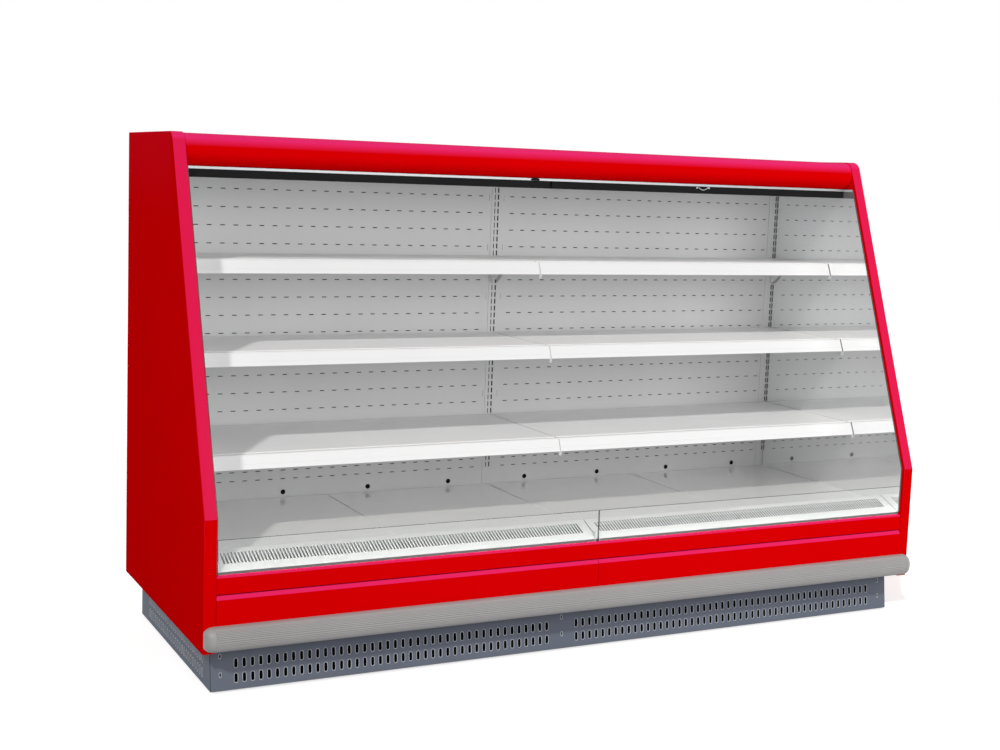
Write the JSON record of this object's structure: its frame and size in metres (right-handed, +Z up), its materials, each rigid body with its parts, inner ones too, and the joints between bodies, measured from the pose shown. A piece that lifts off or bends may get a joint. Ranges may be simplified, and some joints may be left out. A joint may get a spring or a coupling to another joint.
{
  "type": "open multideck display fridge",
  "caption": "Open-fronted chilled display cabinet with leaning end panels, adjustable shelves, a deep deck, night blinds and slotted kick plates.",
  "frame": {"origin": "middle of the whole box, at the floor under the foot pads", "axes": "+X along the cabinet to the viewer's right, +Y towards the back, +Z up; the open front faces -Y"},
  "size_m": [2.583, 0.9832, 1.6],
  "materials": {
    "red_enamel": "semi-gloss",
    "white_enamel": "semi-gloss",
    "grey_enamel": "satin",
    "zinc_steel": "zinc coated",
    "bright_aluminium": "satin",
    "black_plastic": "matte",
    "white_plastic": "semi-gloss",
    "grey_plastic": "ribbed matte",
    "clear_glass": "clear",
    "mirror_sheet": "polished"
  },
  "bodies": {
    "cabinet": {"end_panel_left": "red_enamel", "end_panel_right": "red_enamel", "mirror_left": "mirror_sheet", "mirror_right": "mirror_sheet", "rear_wall": "white_enamel", "roof_panel": "white_enamel", "well_floor": "white_enamel", "front_wall": "white_enamel", "ceiling_plate": "white_enamel", "canopy": "red_enamel", "canopy_trim": "bright_aluminium", "air_outlet": "black_plastic", "upright_left": "white_enamel", "upright_middle": "white_enamel", "upright_right": "white_enamel", "back_wall_lower_left": "white_enamel", "back_wall_upper_left": "white_enamel", "back_wall_lower_right": "white_enamel", "back_wall_upper_right": "white_enamel", "riser_glass_left": "clear_glass", "riser_glass_right": "clear_glass", "top_rail": "red_enamel", "lower_panel_left": "red_enamel", "lower_panel_right": "red_enamel", "bumper": "grey_plastic", "bumper_cap_left": "grey_plastic", "bumper_cap_right": "grey_plastic", "kick_front": "grey_enamel", "kick_side_left": "grey_enamel", "kick_side_right": "grey_enamel", "base_bearer_left": "zinc_steel", "base_bearer_middle": "zinc_steel", "base_bearer_right": "zinc_steel", "evaporator": "bright_aluminium", "fan_plate": "zinc_steel"},
    "fan_left_body": {"fan_left": "black_plastic"},
    "fan_right_body": {"fan_right": "black_plastic"},
    "blind_bar_left_body": {"blind_bar_left": "black_plastic"},
    "blind_bar_right_body": {"blind_bar_right": "black_plastic"},
    "blind_roller_left_body": {"blind_roller_left": "black_plastic"},
    "blind_roller_right_body": {"blind_roller_right": "black_plastic"},
    "blind_pull_body": {"blind_pull": "bright_aluminium"},
    "shelf_top_left_body": {"shelf_top_left": "white_enamel", "price_rail_top_left": "white_plastic"},
    "shelf_top_right_body": {"shelf_top_right": "white_enamel", "price_rail_top_right": "white_plastic"},
    "shelf_middle_left_body": {"shelf_middle_left": "white_enamel", "price_rail_middle_left": "white_plastic"},
    "shelf_middle_right_body": {"shelf_middle_right": "white_enamel", "price_rail_middle_right": "white_plastic"},
    "shelf_bottom_left_body": {"shelf_bottom_left": "white_enamel", "price_rail_bottom_left": "white_plastic"},
    "shelf_bottom_right_body": {"shelf_bottom_right": "white_enamel", "price_rail_bottom_right": "white_plastic"},
    "deck_tray_1_body": {"deck_tray_1": "white_enamel"},
    "deck_tray_2_body": {"deck_tray_2": "white_enamel"},
    "deck_tray_3_body": {"deck_tray_3": "white_enamel"},
    "deck_tray_4_body": {"deck_tray_4": "white_enamel"},
    "return_grille_left_body": {"return_grille_left": "white_enamel"},
    "return_grille_right_body": {"return_grille_right": "white_enamel"}
  },
  "joints": [
    {"name": "fan_left_spin", "type": "hinge", "parent": "cabinet", "child": "fan_left_body", "pos_m": [-0.625, -0.33065, 0.318], "axis": [0, 1, 0], "continuous": true},
    {"name": "fan_right_spin", "type": "hinge", "parent": "cabinet", "child": "fan_right_body", "pos_m": [0.625, -0.33065, 0.318], "axis": [0, 1, 0], "continuous": true},
    {"name": "blind_left_pull_down", "type": "slide", "parent": "cabinet", "child": "blind_bar_left_body", "axis": [0, -0.3453, -0.9385], "range_m": [0, 1.05], "stiffness_N_per_m": 12, "springref_m": -1.2},
    {"name": "blind_right_pull_down", "type": "slide", "parent": "cabinet", "child": "blind_bar_right_body", "axis": [0, -0.3453, -0.9385], "range_m": [0, 1.05], "stiffness_N_per_m": 12, "springref_m": -1.2},
    {"name": "blind_left_roller_turn", "type": "hinge", "parent": "cabinet", "child": "blind_roller_left_body", "pos_m": [-0.625, -0.02631, 1.56], "axis": [1, 0, 0], "range_deg": [0, 3400]},
    {"name": "blind_right_roller_turn", "type": "hinge", "parent": "cabinet", "child": "blind_roller_right_body", "pos_m": [0.625, -0.02631, 1.56], "axis": [1, 0, 0], "range_deg": [0, 3400]},
    {"name": "blind_pull_swing", "type": "hinge", "parent": "blind_bar_right_body", "child": "blind_pull_body", "pos_m": [0.612, -0.03641, 1.4904], "axis": [1, 0, 0], "range_deg": [-80, 0]},
    {"name": "shelf_top_left_draw_out", "type": "slide", "parent": "cabinet", "child": "shelf_top_left_body", "axis": [0, -1, 0], "range_m": [0, 0.25]},
    {"name": "shelf_top_right_draw_out", "type": "slide", "parent": "cabinet", "child": "shelf_top_right_body", "axis": [0, -1, 0], "range_m": [0, 0.25]},
    {"name": "shelf_middle_left_draw_out", "type": "slide", "parent": "cabinet", "child": "shelf_middle_left_body", "axis": [0, -1, 0], "range_m": [0, 0.25]},
    {"name": "shelf_middle_right_draw_out", "type": "slide", "parent": "cabinet", "child": "shelf_middle_right_body", "axis": [0, -1, 0], "range_m": [0, 0.25]},
    {"name": "shelf_bottom_left_draw_out", "type": "slide", "parent": "cabinet", "child": "shelf_bottom_left_body", "axis": [0, -1, 0], "range_m": [0, 0.25]},
    {"name": "shelf_bottom_right_draw_out", "type": "slide", "parent": "cabinet", "child": "shelf_bottom_right_body", "axis": [0, -1, 0], "range_m": [0, 0.25]},
    {"name": "deck_tray_1_lift", "type": "slide", "parent": "cabinet", "child": "deck_tray_1_body", "axis": [0, 0, 1], "range_m": [0, 0.1]},
    {"name": "deck_tray_2_lift", "type": "slide", "parent": "cabinet", "child": "deck_tray_2_body", "axis": [0, 0, 1], "range_m": [0, 0.1]},
    {"name": "deck_tray_3_lift", "type": "slide", "parent": "cabinet", "child": "deck_tray_3_body", "axis": [0, 0, 1], "range_m": [0, 0.1]},
    {"name": "deck_tray_4_lift", "type": "slide", "parent": "cabinet", "child": "deck_tray_4_body", "axis": [0, 0, 1], "range_m": [0, 0.1]},
    {"name": "return_grille_left_lift", "type": "slide", "parent": "cabinet", "child": "return_grille_left_body", "axis": [0, 0, 1], "range_m": [0, 0.07]},
    {"name": "return_grille_right_lift", "type": "slide", "parent": "cabinet", "child": "return_grille_right_body", "axis": [0, 0, 1], "range_m": [0, 0.07]}
  ],
  "couplings": [
    {"joint": "blind_left_roller_turn", "follows": "blind_left_pull_down", "rad_per_m": 55.556},
    {"joint": "blind_right_roller_turn", "follows": "blind_right_pull_down", "rad_per_m": 55.556}
  ]
}
